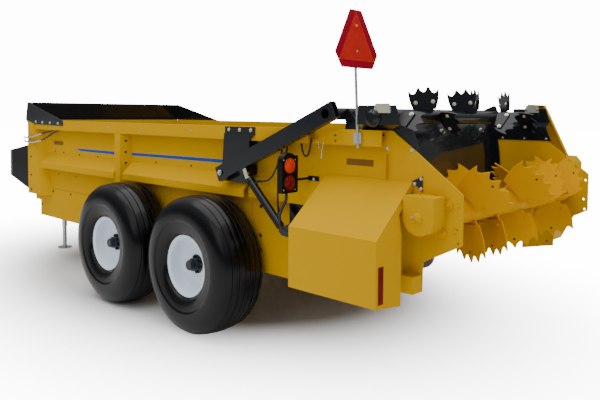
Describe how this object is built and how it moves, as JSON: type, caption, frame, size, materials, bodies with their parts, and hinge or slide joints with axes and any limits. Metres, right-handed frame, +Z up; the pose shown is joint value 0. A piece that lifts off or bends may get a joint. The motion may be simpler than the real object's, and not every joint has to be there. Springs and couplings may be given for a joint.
{
  "type": "manure spreader",
  "caption": "Towed box manure spreader with tandem wheels, a hydraulic lifting rear gate, toothed paddle beaters, an apron chain floor and a drawbar on its jack.",
  "frame": {"origin": "on the ground under the centre of the bounding box", "axes": "+X direction of travel, +Y left side, +Z up"},
  "size_m": [7.0696, 2.708, 2.2483],
  "materials": {
    "yellow_paint": "gloss paint",
    "black_paint": "gloss paint",
    "floor_steel": "worn steel",
    "zinc_steel": "zinc plated",
    "chrome_rod": "polished",
    "lamp_housing": "moulded",
    "amber_lens": "clear moulded",
    "red_lens": "clear moulded",
    "sign_orange": "fluorescent face",
    "tyre_rubber": "moulded rubber",
    "rim_white": "gloss paint",
    "hose_rubber": "rubber hose"
  },
  "bodies": {
    "box": {"amber_lenses": "amber_lens", "apron": "floor_steel", "axle_beams": "yellow_paint", "chain_shield": "yellow_paint", "chassis": "yellow_paint", "cylinder_brackets": "black_paint", "drive_shield": "yellow_paint", "driveline": "zinc_steel", "floor": "floor_steel", "front_extension": "black_paint", "front_shield": "black_paint", "front_wall": "yellow_paint", "gate_brackets": "black_paint", "hitch": "black_paint", "hub_guard": "yellow_paint", "hydraulic_lines": "hose_rubber", "jack": "zinc_steel", "lamp_cables": "hose_rubber", "rear_plate_left": "yellow_paint", "rear_plate_right": "yellow_paint", "red_lenses": "red_lens", "side_left": "yellow_paint", "side_right": "yellow_paint", "sign": "sign_orange", "sign_pole": "zinc_steel", "tail_lamps": "lamp_housing", "tongue": "yellow_paint", "upper_bearings": "black_paint", "upper_panels": "black_paint"},
    "upper_beater": {"upper_beater_tube": "black_paint", "upper_beater_paddles": "black_paint"},
    "lower_beater": {"lower_beater_tube": "yellow_paint", "lower_beater_paddles": "yellow_paint"},
    "gate": {"gate_frame": "black_paint", "gate_sheet": "black_paint"},
    "barrel_left": {"cylinder_barrel_left": "black_paint", "hose_upper_left": "hose_rubber", "hose_lower_left": "hose_rubber"},
    "barrel_right": {"cylinder_barrel_right": "black_paint", "hose_upper_right": "hose_rubber", "hose_lower_right": "hose_rubber"},
    "rod_left": {"cylinder_rod_left": "chrome_rod"},
    "rod_right": {"cylinder_rod_right": "chrome_rod"},
    "wheel_front_left": {"tyre_front_left": "tyre_rubber", "rim_front_left": "rim_white"},
    "wheel_front_right": {"tyre_front_right": "tyre_rubber", "rim_front_right": "rim_white"},
    "wheel_rear_left": {"tyre_rear_left": "tyre_rubber", "rim_rear_left": "rim_white"},
    "wheel_rear_right": {"tyre_rear_right": "tyre_rubber", "rim_rear_right": "rim_white"}
  },
  "joints": [
    {"name": "gate_lift", "type": "hinge", "parent": "box", "child": "gate", "pos_m": [-1.505, 0, 1.183], "axis": [0, 1, 0], "range_deg": [0, 50]},
    {"name": "barrel_left_swing", "type": "hinge", "parent": "box", "child": "barrel_left", "pos_m": [-2.14, 1.055, 0.835], "axis": [0, -1, 0], "range_deg": [0, 7.38]},
    {"name": "rod_left_extend", "type": "slide", "parent": "barrel_left", "child": "rod_left", "axis": [0.7324, 0, 0.6809], "range_m": [0, 0.1977]},
    {"name": "barrel_right_swing", "type": "hinge", "parent": "box", "child": "barrel_right", "pos_m": [-2.14, -1.055, 0.835], "axis": [0, -1, 0], "range_deg": [0, 7.38]},
    {"name": "rod_right_extend", "type": "slide", "parent": "barrel_right", "child": "rod_right", "axis": [0.7324, 0, 0.6809], "range_m": [0, 0.1977]},
    {"name": "upper_beater_spin", "type": "hinge", "parent": "box", "child": "upper_beater", "pos_m": [-2.86, 0, 1.6], "axis": [0, 1, 0], "continuous": true},
    {"name": "lower_beater_spin", "type": "hinge", "parent": "box", "child": "lower_beater", "pos_m": [-3.2, 0, 1.049], "axis": [0, 1, 0], "continuous": true},
    {"name": "wheel_front_left_spin", "type": "hinge", "parent": "box", "child": "wheel_front_left", "pos_m": [-0.27, 1.1515, 0.51], "axis": [0, 1, 0], "continuous": true},
    {"name": "wheel_front_right_spin", "type": "hinge", "parent": "box", "child": "wheel_front_right", "pos_m": [-0.27, -1.1515, 0.51], "axis": [0, 1, 0], "continuous": true},
    {"name": "wheel_rear_left_spin", "type": "hinge", "parent": "box", "child": "wheel_rear_left", "pos_m": [-1.39, 1.1515, 0.51], "axis": [0, 1, 0], "continuous": true},
    {"name": "wheel_rear_right_spin", "type": "hinge", "parent": "box", "child": "wheel_rear_right", "pos_m": [-1.39, -1.1515, 0.51], "axis": [0, 1, 0], "continuous": true}
  ],
  "couplings": [
    {"joint": "barrel_left_swing", "follows": "gate_lift", "ratio": 0.1456},
    {"joint": "rod_left_extend", "follows": "gate_lift", "m_per_rad": 0.2254},
    {"joint": "barrel_right_swing", "follows": "gate_lift", "ratio": 0.1456},
    {"joint": "rod_right_extend", "follows": "gate_lift", "m_per_rad": 0.2254}
  ]
}
